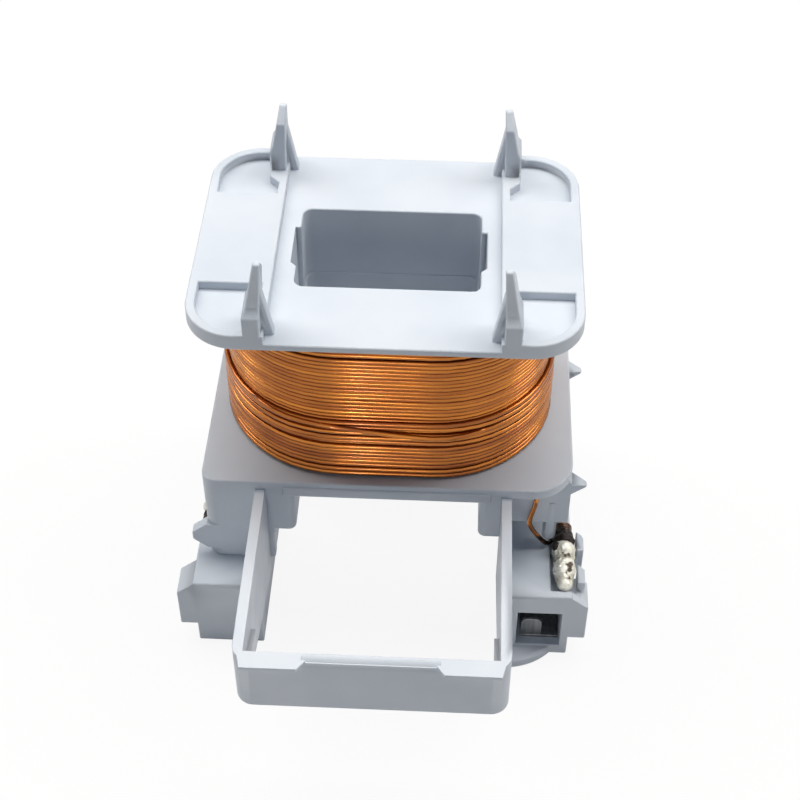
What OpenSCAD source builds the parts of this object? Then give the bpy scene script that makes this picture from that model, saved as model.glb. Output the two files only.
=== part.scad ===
// Contactor coil: a two-piece bobbin with four guide ears, a copper winding, and a
// terminal carrier with a label frame and two spring contacts.
// The origin is on the core window's axis, in the plane of the lower flange's underside.
// +Z runs up the window towards the ears, and -Y faces the label.

/* [Flanges] */
// Width of both flanges
flange_w = 39.2; // [38:0.2:41]
// Depth of both flanges, front to back
flange_d = 30.4; // [29:0.2:32]
// How far the flanges' centre lies behind the core window's axis
flange_offset = 0.2; // [0:0.1:0.6]
// How far the lower flange and its skirt lie to the finish lead's side
lower_shift = 0.35; // [0:0.05:0.4]
// Corner radius of the upper flange
flange_r = 5.3; // [4:0.1:6]
// Thickness of the upper flange's thin middle
plate_t = 0.8; // [0.6:0.1:1.2]
// Height of the pads and rims above the thin middle
pad_h = 1; // [0.6:0.1:1.4]
// Thickness of the lower flange
lower_t = 1.9; // [1.4:0.1:2.4]
// Corner radius of the lower flange where the finish lead comes down
lead_corner_r = 4.5; // [3.5:0.1:5.5]
// Thickness of the lower flange at that corner
lead_corner_t = 1.3; // [1:0.1:1.6]
// Corner radius of the lower flange elsewhere
lower_r = 1.6; // [0.8:0.2:2.4]

/* [Pads and pockets] */
// Half-width of the recessed middle of the upper flange
middle_half = 11.4; // [11:0.1:11.6]
// Width of the raised strip beside the middle
strip_w = 0.9; // [0.6:0.1:1.2]
// Width of the raised rim round each corner pocket
rim_w = 0.95; // [0.7:0.05:1.3]
// Half-length of the two middle pads
pad_half = 7.3; // [6:0.1:8.5]

/* [Ears] */
// Distance from the window's axis to an ear's inner side
ear_x = 11.7; // [11.6:0.1:12.2]
// Width of an ear at its foot
ear_w = 1.7; // [1.4:0.1:2]
// Depth of an ear, front to back
ear_t = 4.05; // [3.4:0.05:4.4]
// Height of an ear above the pads
ear_h = 7.3; // [6:0.1:8]
// Height of an ear's upright foot
ear_foot_h = 2.1; // [1.5:0.1:2.6]
// How far an ear's outer face steps in above its foot
ear_lean = 0.75; // [0.5:0.05:0.9]
// Height of that step, and of the upright part above it
ear_step = 0.9; // [0.6:0.1:1.1]
// Width and depth of an ear's tip
ear_tip = 0.5; // [0.4:0.1:0.9]
// Depth of the raised support round an ear's foot
support_d = 4.95; // [4.6:0.05:5.4]
// Reach of the thin web beside an ear
web_w = 1.2; // [0.8:0.1:1.6]
// Thickness of that web
web_t = 1.15; // [0.8:0.05:1.4]
// Height of that web
web_h = 6.4; // [4:0.1:7]

/* [Core window] */
// Width of the core window
window_w = 18.7; // [17:0.1:19]
// Depth of the core window
window_d = 12.4; // [11:0.1:13]
// Corner radius of the core window
window_r = 1; // [0.6:0.1:1.4]
// Depth of the relief in each side wall of the window
relief_depth = 0.6; // [0.4:0.05:0.7]
// Length of that relief
relief_len = 6.2; // [4:0.2:8]
// Wall of the tube round the window
tube_wall = 1.4; // [1.3:0.1:1.6]
// Height of the seam between the two bobbin halves
seam_z = 13; // [9:0.1:15]
// Length of the lap at the seam
lap_h = 2; // [1:0.1:3]
// Part of the wall that the upper half's tongue takes
tongue_t = 0.9; // [0.85:0.05:1]
// Clearance in the lap
lap_clear = 0.05; // [0.02:0.01:0.1]
// Step inwards of the window's wall below the seam
seam_step = 0.12; // [0.05:0.01:0.2]

/* [Winding] */
// Height of the winding, which sets the gap between the flanges
winding_h = 18.9; // [16:0.1:22]
// Diameter of the enamelled wire
wire_d = 0.5; // [0.4:0.05:0.6]
// Pitch of the turns in a layer
turn_pitch = 0.525; // [0.5:0.025:0.65]
// Width over the full layers
winding_w = 33.6; // [31:0.2:34]
// Depth over the full layers
winding_d = 25.8; // [24.4:0.2:26.4]
// Corner radius of the full layers
winding_r = 12; // [8:0.2:12.2]
// Number of turns in the last layer, which doesn't reach the top
last_turns = 13; // [8:1:24]

/* [Lower skirt] */
// Half-width of the yoke channel between the guide rails
channel_half = 9.8; // [9.5:0.1:10]
// Thickness of a guide rail
rail_t = 2.4; // [1.8:0.1:2.5]
// Depth of the guide rails below the lower flange
rail_h = 5.6; // [4.5:0.1:6]
// Depth of the side walls below the lower flange
side_h = 6.3; // [6:0.1:7]
// Thickness of the skirt's walls
skirt_t = 1.3; // [1:0.1:1.6]
// How far the front wall stands back on the lead's side
lead_wall_back = 3; // [2.6:0.1:3.4]
// Diameter of the lead's hold-down peg
peg_d = 1.5; // [1.4:0.05:1.6]
// Distance from the pin's axis to the peg's
peg_side = 1.7; // [1.65:0.05:2]
// Gap below the peg for the lead
peg_gap = 1.2; // [1:0.1:1.5]
// Depth of a rear foot, front to back
foot_d = 6; // [5:0.2:7]
// Height of the ledge along the lower flange's front
ledge_h = 1.3; // [1:0.1:1.5]
// Reach of that ledge
ledge_reach = 0.2; // [0.1:0.05:0.3]

/* [Snap lugs] */
// Reach of a lug beyond the side wall
lug_reach = 1.6; // [1.2:0.1:1.8]
// Height of a side lug at the wall
lug_h = 1.5; // [1.2:0.1:2]
// Height of a side lug's tip
lug_tip_h = 0.2; // [0.1:0.05:0.5]
// Length of a side lug at the wall
lug_len = 2; // [1.6:0.1:2.6]
// Length of a side lug's tip
lug_tip_len = 0.65; // [0.4:0.05:1]
// Drop of the side lugs below the lower flange's underside
lug_drop = 0.15; // [0.1:0.05:0.5]
// Distance from the front side lug to the rear one
lug_pitch = 17.4; // [16:0.1:18]
// Height of the leg's hook at its root
hook_h = 3.8; // [3:0.1:4.4]
// Height of the hook's blunt tip
hook_tip_h = 1; // [0.6:0.1:1.4]
// Drop of the hook below the lower flange's underside
hook_drop = 5.3; // [4.6:0.1:5.8]

/* [Label frame] */
// Half-width between the arms of the label frame
arm_in = 12.4; // [12.2:0.1:12.6]
// Thickness of the arms and of the label plate
arm_t = 1.1; // [0.9:0.05:1.3]
// Height of the arms' top edge above the lower flange's underside
arm_top = 0.8; // [0.4:0.1:1.4]
// Reach of the label frame in front of the flanges
frame_reach = 21.8; // [18:0.2:24]
// Height of the label plate
label_h = 7.6; // [6:0.1:9]
// Corner radius of the label frame
frame_r = 1.8; // [1.2:0.1:2.2]
// Depth of the arms at their roots, below the lower flange
arm_root = 12.4; // [11.6:0.1:14]
// Radius of the label plate's top edge between the lips
label_edge_r = 1; // [0.6:0.05:1.05]
// Forward reach of the lips over the label
lip_reach = 0.9; // [0.6:0.1:1.2]
// Height of those lips
lip_h = 0.6; // [0.4:0.1:1.3]
// Length of those lips
lip_len = 6.8; // [5:0.1:8]
// Length of the wedge on each arm's inner face
wedge_len = 5.5; // [4:0.1:7]
// Height of that wedge at its root
wedge_h = 3.8; // [3:0.1:5]
// Thickness of that wedge
wedge_t = 0.5; // [0.3:0.05:0.6]

/* [Terminal blocks] */
// Depth of the plane that the coil stands on, below the lower flange
base_h = 20.3; // [19.6:0.1:21]
// Depth of the blocks' tops below the lower flange
block_top = 10.3; // [10:0.1:10.8]
// Half-width over the blocks
block_half = 20.6; // [20.4:0.1:20.8]
// Reach of the blocks in front of the flanges
block_reach = 4.2; // [4:0.1:5]
// Forward reach of the curved apron under the right block's mouth
apron_reach = 2.3; // [1:0.1:2.5]
// Thickness of that apron
apron_t = 1.2; // [0.8:0.1:1.3]
// Half-width over the outer lugs of the blocks
block_lug_half = 22.45; // [21.6:0.05:22.5]
// Depth of those lugs, front to back
block_lug_d = 3.6; // [3:0.1:4.5]
// Height of the chamfer on top of those lugs
block_lug_chamfer = 1.7; // [1:0.1:2]
// Height of those lugs
block_lug_h = 7.1; // [5:0.1:7.6]

/* [Contacts] */
// Width of the contact pocket
pocket_w = 4.8; // [4.4:0.1:5]
// Height of the contact pocket
pocket_h = 5.6; // [5:0.1:6]
// Floor under the contact pocket
pocket_floor = 1.4; // [1.3:0.1:1.7]
// Distance from the window's axis to the outer side of the pocket
pocket_out = 19.7; // [19.6:0.05:19.8]
// Thickness of the contact strip
strip_t = 0.4; // [0.3:0.05:0.5]
// Diameter of the solder pin
pin_d = 1; // [0.8:0.05:1.1]
// Length of the solder pin
pin_len = 9; // [8.6:0.1:9.3]
// Distance from the window's axis to the solder pin
pin_x = 19.75; // [19.5:0.05:19.8]
// Height of the pin's axis above the blocks' tops
pin_up = 0.4; // [0.3:0.05:0.6]
// Depth of the trough under the pin
trough_depth = 1.1; // [1:0.05:1.3]
// Half-width of the trough
trough_half = 1.45; // [1.4:0.05:1.5]
// Width of the contact leaf
leaf_w = 2.3; // [2:0.1:2.6]
// Height of the contact leaf
leaf_h = 2.75; // [2.4:0.05:3]
// How far the leaf stands behind the pocket's mouth
leaf_back = 1.1; // [0.9:0.1:1.5]
// Radius of the leaf's upper corners
leaf_r = 0.8; // [0.4:0.1:1]
// Radius of the largest bead of solder
solder_r = 1.35; // [1.05:0.05:1.4]
// Gap between the solder pin's free end and the block's front
pin_margin = 1.2; // [1.1:0.1:1.4]
// Distance from the pocket's inner side to the contact leaf
leaf_side = 0.5; // [0.4:0.05:1]
// Number of turns wrapped round a pin
wrap_turns = 3; // [2:1:4]

/* [Hidden] */
$fn = 64;

grey = [0.80, 0.82, 0.87];
copper = [0.80, 0.46, 0.16];
tin = [0.80, 0.80, 0.78];

// Overlap of a cut beyond the face that it opens
cut = 1;
// Sink of one shape into its neighbour in the same piece
sink = 0.2;
// Clearance round a wire or a strip in its slot
slot_clear = 0.1;
// Clearance between the winding's layers, round a pin's wraps and under a contact leaf
fine_clear = 0.02;
leaf_clear = 0.05;
// Space between the leg and the left contact behind it
leg_clear = 0.6;
// Share of a wire's diameter that a layer's backing takes
backing = 0.6;

// Levels
z_upper = lower_t + winding_h;
z_plate = z_upper + plate_t;
z_pad = z_plate + pad_h;
z_base = -base_h;
z_block = -block_top;

// Front and back
front_y = flange_offset - flange_d / 2;
back_y = front_y + flange_d;
block_front = front_y - block_reach;
plate_front = front_y - frame_reach;
lead_wall_y = front_y + lead_wall_back;

// Half-widths
side_x = flange_w / 2;
arm_out = arm_in + arm_t;
rail_out = channel_half + rail_t;

// Contact pocket and strip
pocket_in = pocket_out - pocket_w;
z_floor = z_base + pocket_floor;
riser_w = 1.25;
riser_in = pin_x - riser_w;
riser_y = block_front + pin_margin + pin_len;
riser_back = riser_y + strip_t;
leaf_y = block_front + leaf_back;
leaf_x = pocket_in + leaf_side;
z_leaf = z_floor + strip_t + leaf_clear;
z_pin = z_block + pin_up;

// The left contact is the right one turned about this upright line, to lie behind the leg
turn_y = (front_y + skirt_t + leg_clear + riser_back) / 2;
block_back = 2 * turn_y - block_front;

// Beads of solder: places behind the block's front, and sizes beside the largest
solder_y = [6, 3.8, 2.2];
solder_size = [1, 0.96, 0.7];
// Stops outside the right pin: places behind the block's front, length and thickness
stop_y = [1.8, 6.4];
stop_len = 1.9;
stop_t = 0.8;

// Leads: how far inside the winding's side and front each passes through the lower flange
lead_in = 3.6;
finish_back = 5.3;
start_back = 9.7;
finish_hole = [winding_w / 2 - lead_in, finish_back - winding_d / 2];
start_hole = [lead_in - winding_w / 2, start_back - winding_d / 2];
// Heights of the finish lead's bow, beside the side walls' depth
bow = [0.55, 0.87, 1.06];
lead_hole_r = wire_d / 2 + 2 * slot_clear;
wrap_r = (pin_d + wire_d) / 2 + fine_clear;
wrap_pitch = wire_d + fine_clear;
wrap_y = riser_y - wire_d;
wrap_end = wrap_y - wrap_turns * wrap_pitch;
wrap_in = pin_x - wrap_r - wire_d / 2;
peg_x = pin_x - peg_side;
notch_x = peg_x - peg_d / 2 - 2 * wire_d;
notch_h = 4 * wire_d;

// Plain outlines

module rounded(w, d, r) {
    square([w - 2 * r, d], center = true);
    square([w, d - 2 * r], center = true);
    for (sx = [-1, 1], sy = [-1, 1])
        translate([sx * (w / 2 - r), sy * (d / 2 - r)]) circle(r);
}

module corner_waste(r) {
    difference() {
        translate([-cut, -cut]) square(r + cut);
        translate([r, r]) circle(r);
    }
}

module slab(x, y, z) {
    translate([x[0], y[0], z[0]]) cube([x[1] - x[0], y[1] - y[0], z[1] - z[0]]);
}

// Extrudes an outline in Y and Z along X, between two values of X
module along_x(x) {
    translate([x[0], 0, 0]) rotate([90, 0, 90]) linear_extrude(x[1] - x[0]) children();
}

// Extrudes an outline in X and Z along Y, between two values of Y
module along_y(y) {
    translate([0, y[1], 0]) rotate([90, 0, 0]) linear_extrude(y[1] - y[0]) children();
}

module both_sides() {
    children();
    mirror([1, 0, 0]) children();
}

// Puts a contact's shape on its side: the left one is the right one turned half round
module contact_place(side) {
    if (side > 0) children();
    else translate([0, turn_y, 0]) rotate(180) translate([0, -turn_y, 0]) children();
}

// The core window and the tube round it

module window_outline(step) {
    side = window_w / 2 - step;
    deep = side + relief_depth;
    end = relief_len / 2;
    rounded(2 * side, window_d - 2 * step, window_r);
    polygon([
        [-deep, end], [deep, end], [deep, relief_depth - end],
        [side, -end], [-side, -end], [-deep, relief_depth - end]]);
}

module tube_outline(wall) {
    rounded(window_w + 2 * wall, window_d + 2 * wall, window_r + wall / 2);
}

// Upper half of the bobbin

module upper_outline(inset) {
    translate([0, flange_offset]) rounded(flange_w - 2 * inset, flange_d - 2 * inset, flange_r - inset);
}

module raised_outline() {
    difference() {
        upper_outline(0);
        square([2 * middle_half, 2 * flange_d], center = true);
        both_sides() difference() {
            intersection() {
                upper_outline(rim_w);
                translate([middle_half + strip_w, -flange_d]) square([flange_w, 2 * flange_d]);
            }
            translate([0, flange_offset - pad_half]) square([flange_w, 2 * pad_half]);
            translate([0, front_y]) ear_support();
            translate([0, back_y]) mirror([0, 1]) ear_support();
        }
    }
}

// Raised support round the foot of an ear at the front edge
module ear_support() {
    strip = middle_half + strip_w;
    out = ear_x + ear_w;
    polygon([
        [middle_half, -cut], [out, -cut], [out, support_d],
        [strip, support_d + out - strip], [middle_half, support_d]]);
}

// An ear at the front edge: its foot is upright, and both faces lean in to a narrow tip
module ear() {
    foot = pad_h + ear_foot_h;
    top = pad_h + ear_h;
    shoulder = foot + ear_step;
    middle = ear_t / 2;
    slope = middle - ear_tip;
    intersection() {
        along_x([ear_x - ear_w, ear_x + ear_w])
            polygon([
                [0, 0], [0, foot], [ear_lean, shoulder], [ear_lean, shoulder + ear_step], [middle, top],
                [middle + ear_tip, top], [ear_t, top - slope], [ear_t, 0]]);
        along_y([-sink, ear_t + sink])
            polygon([
                [ear_x, 0], [ear_x + ear_w, 0], [ear_x + ear_w, foot],
                [ear_x + ear_w - ear_lean / 2, shoulder], [ear_x + ear_tip, top], [ear_x - ear_tip / 2, top],
                [ear_x, foot]]);
    }
    along_y([middle - web_t / 2, middle + web_t / 2])
        polygon([[ear_x - web_w, 0], [ear_x + sink, 0], [ear_x + sink, web_h], [ear_x, web_h]]);
}

module upper_former() {
    color(grey) difference() {
        union() {
            translate([0, 0, z_upper]) linear_extrude(plate_t) upper_outline(0);
            translate([0, 0, z_plate]) linear_extrude(pad_h) raised_outline();
            translate([0, 0, seam_z + lap_h])
                linear_extrude(z_upper - seam_z - lap_h) tube_outline(tube_wall);
            translate([0, 0, seam_z]) linear_extrude(lap_h) tube_outline(tongue_t);
            both_sides() {
                translate([0, front_y, z_plate]) ear();
                translate([0, back_y, z_plate]) mirror([0, 1, 0]) ear();
            }
        }
        translate([0, 0, seam_z - cut]) linear_extrude(z_pad) window_outline(0);
    }
}

// Lower half of the bobbin, with the skirt under its flange

module lower_outline(right_r) {
    difference() {
        translate([-side_x, front_y]) square([flange_w, flange_d]);
        translate([-side_x, front_y]) corner_waste(lower_r);
        translate([-side_x, back_y]) rotate(-90) corner_waste(lower_r);
        translate([side_x, back_y]) rotate(180) corner_waste(lower_r);
        if (right_r > 0) translate([side_x, front_y]) rotate(90) corner_waste(right_r);
    }
}

module rail_outline() {
    rail_r = rail_t / 3;
    translate([channel_half, front_y + rail_r]) square([rail_t, flange_d - rail_r]);
    translate([channel_half + rail_r, front_y]) square([rail_t - rail_r, flange_d]);
    translate([channel_half + rail_r, front_y + rail_r]) circle(rail_r);
}

// Side wall and back wall of one half of the skirt
module side_outline(wall_front) {
    translate([side_x - skirt_t, wall_front]) square([skirt_t, back_y - wall_front]);
    translate([rail_out - sink, wall_front]) square([side_x - rail_out + sink, skirt_t]);
    translate([rail_out - sink, back_y - skirt_t]) square([side_x - rail_out + sink, skirt_t]);
}

module foot_outline() {
    difference() {
        translate([arm_out, back_y - foot_d]) square([side_x - arm_out, foot_d]);
        translate([arm_out + skirt_t, back_y - foot_d + skirt_t])
            square([side_x - arm_out - 2 * skirt_t, foot_d - 2 * skirt_t]);
    }
}

// A wedge on the side wall, level on top and square in front
module side_lug() {
    intersection() {
        translate([0, 0, -lug_h]) linear_extrude(lug_h)
            polygon([[-sink, 0], [lug_reach, 0], [lug_reach, lug_tip_len], [0, lug_len], [-sink, lug_len]]);
        along_y([0, lug_len])
            polygon([[-sink, 0], [lug_reach, 0], [lug_reach, -lug_tip_h], [0, -lug_h], [-sink, -lug_h]]);
    }
}

// Front view of the hook on the leg's outer side
module hook_outline() {
    slope_h = (hook_h - hook_tip_h) / 2;
    polygon([
        [-lower_r, 0], [0, 0], [lug_reach, -slope_h],
        [lug_reach, slope_h - hook_h], [0, -hook_h], [-lower_r, -hook_h]]);
}

module skirt() {
    both_sides() translate([0, 0, -rail_h]) linear_extrude(rail_h + sink) rail_outline();
    translate([0, 0, -side_h]) linear_extrude(side_h + sink) intersection() {
        lower_outline(0);
        union() {
            side_outline(lead_wall_y);
            mirror([1, 0]) side_outline(front_y);
        }
    }
    both_sides() translate([0, 0, z_base]) linear_extrude(base_h + sink) intersection() {
        lower_outline(0);
        foot_outline();
    }
    translate([0, 0, z_block]) linear_extrude(block_top + sink) intersection() {
        lower_outline(0);
        translate([-side_x, front_y]) square([side_x - rail_out, skirt_t]);
    }
    ledge_half = channel_half + rail_t / 2;
    slab([-ledge_half, ledge_half], [front_y - ledge_reach, front_y + sink], [0, ledge_h]);
    for (y = [lead_wall_y, lead_wall_y + lug_pitch]) translate([side_x, y, -lug_drop]) side_lug();
    translate([-side_x, 0, -hook_drop]) mirror([1, 0, 0])
        along_y([front_y, front_y + skirt_t]) hook_outline();
}

// Peg that holds the finish lead down, under the front wall on the lead's side
module lead_peg() {
    z_peg = z_block + peg_gap;
    translate([peg_x, lead_wall_y + skirt_t / 2, z_peg]) cylinder(d = peg_d, h = -side_h / 2 - z_peg);
}

module lower_former() {
    color(grey) difference() {
        union() {
            translate([lower_shift, 0, 0]) {
                linear_extrude(lower_t) lower_outline(lead_corner_r);
                skirt();
            }
            lead_peg();
            linear_extrude(seam_z) tube_outline(tube_wall);
            translate([0, 0, seam_z]) linear_extrude(lap_h) difference() {
                tube_outline(tube_wall);
                tube_outline(tongue_t + lap_clear);
            }
        }
        translate([0, 0, -cut]) linear_extrude(seam_z + 2 * cut) window_outline(seam_step);
        for (hole = [start_hole, finish_hole])
            translate([hole[0], hole[1], -cut]) cylinder(r = lead_hole_r, h = lower_t + 2 * cut);
        slab(
            [notch_x - wire_d, notch_x + wire_d],
            [lead_wall_y - cut, lead_wall_y + skirt_t + cut],
            [-notch_h, 0]);
        slab(
            [arm_out + slot_clear, side_x + lower_shift + cut],
            [front_y - cut, lead_wall_y],
            [-cut, lower_t - lead_corner_t]);
    }
}

// Terminal carrier: the label frame and the two terminal blocks

// Side view of the label frame
module frame_profile() {
    polygon([
        [front_y, arm_top], [plate_front - cut, arm_top], [plate_front - cut, arm_top - label_h],
        [plate_front + arm_t, arm_top - label_h], [front_y, -arm_root]]);
}

// Plan of the label frame, a U with rounded outer corners
module frame_plan() {
    inner_front = plate_front + arm_t;
    difference() {
        translate([-arm_out, plate_front]) square([2 * arm_out, front_y - plate_front]);
        translate([-arm_in, inner_front]) square([2 * arm_in, front_y - inner_front + cut]);
        translate([-arm_out, plate_front]) corner_waste(frame_r);
        translate([arm_out, plate_front]) rotate(90) corner_waste(frame_r);
    }
}

module label_lip() {
    lip_out = arm_out - frame_r / 4;
    translate([0, 0, arm_top - lip_h]) linear_extrude(lip_h)
        polygon([
            [lip_out - lip_len, plate_front + sink], [lip_out - lip_len + lip_reach, plate_front - lip_reach],
            [lip_out - lip_reach / 2, plate_front - lip_reach], [lip_out, plate_front + arm_t]]);
}

module frame_wedge() {
    y = plate_front + arm_t;
    middle = arm_top - label_h / 2;
    along_x([arm_in - wedge_t, arm_in + sink])
        polygon([
            [y - sink, middle + wedge_h / 2], [y + wedge_len, middle],
            [y - sink, middle - wedge_h / 2]]);
}

module label_frame() {
    difference() {
        intersection() {
            translate([0, 0, z_base]) linear_extrude(base_h + arm_top) frame_plan();
            along_x([-arm_out, arm_out]) frame_profile();
        }
        along_x([lip_len - arm_out, arm_out - lip_len])
            translate([plate_front, arm_top]) rotate(-90) corner_waste(label_edge_r);
    }
    both_sides() {
        label_lip();
        frame_wedge();
    }
}

module block() {
    slab([arm_out - sink, block_half], [block_front, block_back], [z_base, z_block]);
    along_y([block_front, block_front + block_lug_d])
        polygon([
            [block_half - sink, z_block], [block_lug_half, z_block - block_lug_chamfer],
            [block_lug_half, z_block - block_lug_h], [block_half - sink, z_block - block_lug_h]]);
}

// Pocket, strip slot and pin trough of one contact
module contact_room() {
    slab([pocket_in, pocket_out], [block_front - cut, riser_back], [z_floor, z_floor + pocket_h]);
    slab([riser_in, pin_x + slot_clear], [riser_y - slot_clear, riser_back], [z_floor, z_block + cut]);
    slab(
        [pocket_in, pin_x + slot_clear],
        [riser_y - slot_clear, riser_back],
        [z_floor, z_floor + strip_t + slot_clear]);
    slab(
        [pin_x - trough_half, block_half + cut],
        [block_front + pin_margin - 2 * slot_clear, riser_back],
        [z_block - trough_depth, z_block + cut]);
}

// Two upright stops outside the pin
module pin_stops() {
    stop_in = pin_x + trough_half;
    stop_out = stop_in + stop_t;
    z_root = z_block - 3 * trough_depth;
    for (place = stop_y) translate([0, block_front + place, z_root]) {
        slab([min(block_half, stop_in) - sink, stop_out], [0, stop_len], [0, 2 * trough_depth]);
        linear_extrude(z_block + pin_up - z_root)
            polygon([[stop_in, 0], [stop_out, 0], [stop_out, stop_len], [stop_in, stop_len + stop_t]]);
    }
}

// Curved apron under the mouth of the right pocket
module apron() {
    r = block_half - arm_out;
    translate([0, 0, z_base]) linear_extrude(apron_t) intersection() {
        translate([arm_out, block_front - apron_reach + r]) circle(r);
        translate([arm_out - sink, block_front - r]) square([r + sink, r + sink]);
    }
}

module terminal_carrier() {
    color(grey) union() {
        label_frame();
        apron();
        difference() {
            both_sides() block();
            contact_place(1) contact_room();
            contact_place(-1) contact_room();
        }
        pin_stops();
    }
}

// Winding

module winding_outline(grow) {
    rounded(winding_w + 2 * grow, winding_d + 2 * grow, winding_r + grow);
}

// Section of one layer: a row of round wires on a thin backing, with x outwards
module layer_section(turns, inner) {
    for (i = [0:turns - 1])
        translate([inner + wire_d / 2, (i + 0.5) * turn_pitch]) circle(d = wire_d, $fn = 24);
    translate([inner, 0]) square([wire_d * backing, turns * turn_pitch]);
}

// One layer of turns that follows the winding's rounded outline, grown by some wires
module layer(turns, grow) {
    r = winding_r + grow;
    x = winding_w / 2 - winding_r;
    y = winding_d / 2 - winding_r;
    for (i = [0:3]) {
        sx = i == 0 || i == 3 ? 1 : -1;
        sy = i < 2 ? 1 : -1;
        translate([sx * x, sy * y, 0]) rotate(90 * i) rotate_extrude(angle = 90) layer_section(turns, r);
    }
    for (turn = [0, 180]) rotate(turn) {
        along_y([-y, y]) translate([x, 0]) layer_section(turns, r);
        along_x([-x, x]) translate([y, 0]) layer_section(turns, r);
    }
}

module winding_inner_layers() {
    color(copper) translate([0, 0, lower_t]) linear_extrude(winding_h) difference() {
        winding_outline(-wire_d - fine_clear);
        tube_outline(tube_wall);
    }
}

module winding_outer_layer() {
    turns = floor(winding_h / turn_pitch + fine_clear);
    color(copper) translate([0, 0, lower_t]) layer(turns, -wire_d);
}

module winding_last_layer() {
    color(copper) translate([0, 0, lower_t]) layer(last_turns, 0);
}

// Leads: a round wire swept along a smooth curve through a few points

function spline(p, i, t) =
    let (a = p[max(i - 1, 0)], b = p[i], c = p[i + 1], d = p[min(i + 2, len(p) - 1)])
    b + t * ((c - a) / 2 + t * ((a - 2.5 * b + 2 * c - d / 2) + t * (1.5 * (b - c) + (d - a) / 2)));
function route(p, steps) = concat(
    [for (i = [0:len(p) - 2], k = [0:steps - 1]) spline(p, i, k / steps)], [p[len(p) - 1]]);
function unit(v) = v / norm(v);
function heading(p, i) = unit(p[min(i + 1, len(p) - 1)] - p[max(i - 1, 0)]);
function ring(p, i, r, sides) =
    let (h = heading(p, i), u = unit(cross(h, [0.3, 1, 0.2])), v = cross(h, u))
    [for (k = [0:sides - 1]) p[i] + r * (cos(360 * k / sides) * u + sin(360 * k / sides) * v)];

module wire(points) {
    sides = 8;
    p = route(points, 4);
    n = len(p);
    corners = [for (i = [0:n - 1]) each ring(p, i, wire_d / 2, sides)];
    walls = [for (i = [0:n - 2], k = [0:sides - 1])
        let (m = (k + 1) % sides)
        [i * sides + k, i * sides + m, (i + 1) * sides + m, (i + 1) * sides + k]];
    ends = [[for (k = [sides - 1:-1:0]) k], [for (k = [0:sides - 1]) (n - 1) * sides + k]];
    polyhedron(corners, concat(walls, ends));
}

module finish_lead() {
    wall_face = lead_wall_y - wire_d / 2 - slot_clear;
    wall_back = lead_wall_y + skirt_t;
    under_peg = z_block + peg_gap / 2;
    color(copper) wire([
        [finish_hole[0], finish_hole[1], lower_t],
        [finish_hole[0], finish_hole[1], lower_t / 2],
        [finish_hole[0], finish_hole[1], -wire_d],
        [finish_hole[0] + wire_d, finish_hole[1] - wire_d, -2 * wire_d],
        [notch_x, wall_back + wire_d, -2 * wire_d],
        [notch_x, wall_face, wire_d / 2 - notch_h],
        [notch_x - wire_d / 4, wall_face, -side_h * bow[0]],
        [notch_x - wire_d, wall_face, -side_h * bow[1]],
        [notch_x - wire_d * 3 / 4, wall_face, -side_h * bow[2]],
        [notch_x + wire_d, wall_face, (under_peg - side_h * bow[2]) / 2],
        [peg_x - wire_d / 4, wall_face + wire_d / 2, under_peg],
        [wrap_in, wrap_end, z_pin]]);
}

module start_lead() {
    color(copper) wire([
        [start_hole[0], start_hole[1], lower_t],
        [start_hole[0], start_hole[1], lower_t / 2],
        [start_hole[0], start_hole[1], -rail_h / 3],
        [start_hole[0] - 2 * wire_d, start_hole[1] - 4 * wire_d, -side_h],
        [-wrap_in, 2 * turn_y - wrap_end, z_pin]]);
}

// Contacts

module terminal() {
    translate([pin_x, riser_back, z_pin]) rotate([90, 0, 0]) cylinder(d = pin_d, h = pin_len + strip_t);
    slab([riser_in, pin_x], [riser_y, riser_back], [z_floor, z_pin]);
    slab([leaf_x, pin_x], [riser_y, riser_back], [z_floor, z_floor + strip_t]);
    slab([leaf_x, pocket_out - slot_clear], [leaf_y, riser_back], [z_floor, z_floor + strip_t]);
}

module contact_leaf() {
    along_y([leaf_y, leaf_y + strip_t]) {
        translate([leaf_x, z_leaf]) square([leaf_w, leaf_h - leaf_r]);
        translate([leaf_x + leaf_r, z_leaf]) square([leaf_w - 2 * leaf_r, leaf_h]);
        for (x = [leaf_r, leaf_w - leaf_r])
            translate([leaf_x + x, z_leaf + leaf_h - leaf_r]) circle(leaf_r);
    }
}

module solder_joint() {
    difference() {
        for (i = [0:len(solder_y) - 1])
            translate([pin_x, block_front + solder_y[i], z_pin]) sphere(solder_r * solder_size[i]);
        translate([pin_x, block_front + flange_d, z_pin]) rotate([90, 0, 0])
            cylinder(d = pin_d, h = 2 * flange_d);
    }
}

module lead_wrap() {
    for (i = [0:wrap_turns - 1])
        translate([pin_x, wrap_y - i * wrap_pitch, z_pin]) rotate([90, 0, 0]) rotate_extrude()
            translate([wrap_r, 0]) circle(d = wire_d, $fn = 24);
}

module left_terminal() { color(tin) contact_place(-1) terminal(); }
module right_terminal() { color(tin) contact_place(1) terminal(); }
module left_contact_leaf() { color(tin) contact_place(-1) contact_leaf(); }
module right_contact_leaf() { color(tin) contact_place(1) contact_leaf(); }
module left_solder_joint() { color("whitesmoke") contact_place(-1) solder_joint(); }
module right_solder_joint() { color("whitesmoke") contact_place(1) solder_joint(); }
module left_lead_wrap() { color(copper) contact_place(-1) lead_wrap(); }
module right_lead_wrap() { color(copper) contact_place(1) lead_wrap(); }

upper_former();
lower_former();
terminal_carrier();
winding_inner_layers();
winding_outer_layer();
winding_last_layer();
start_lead();
finish_lead();
left_terminal();
right_terminal();
left_contact_leaf();
right_contact_leaf();
left_solder_joint();
right_solder_joint();
left_lead_wrap();
right_lead_wrap();
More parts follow.
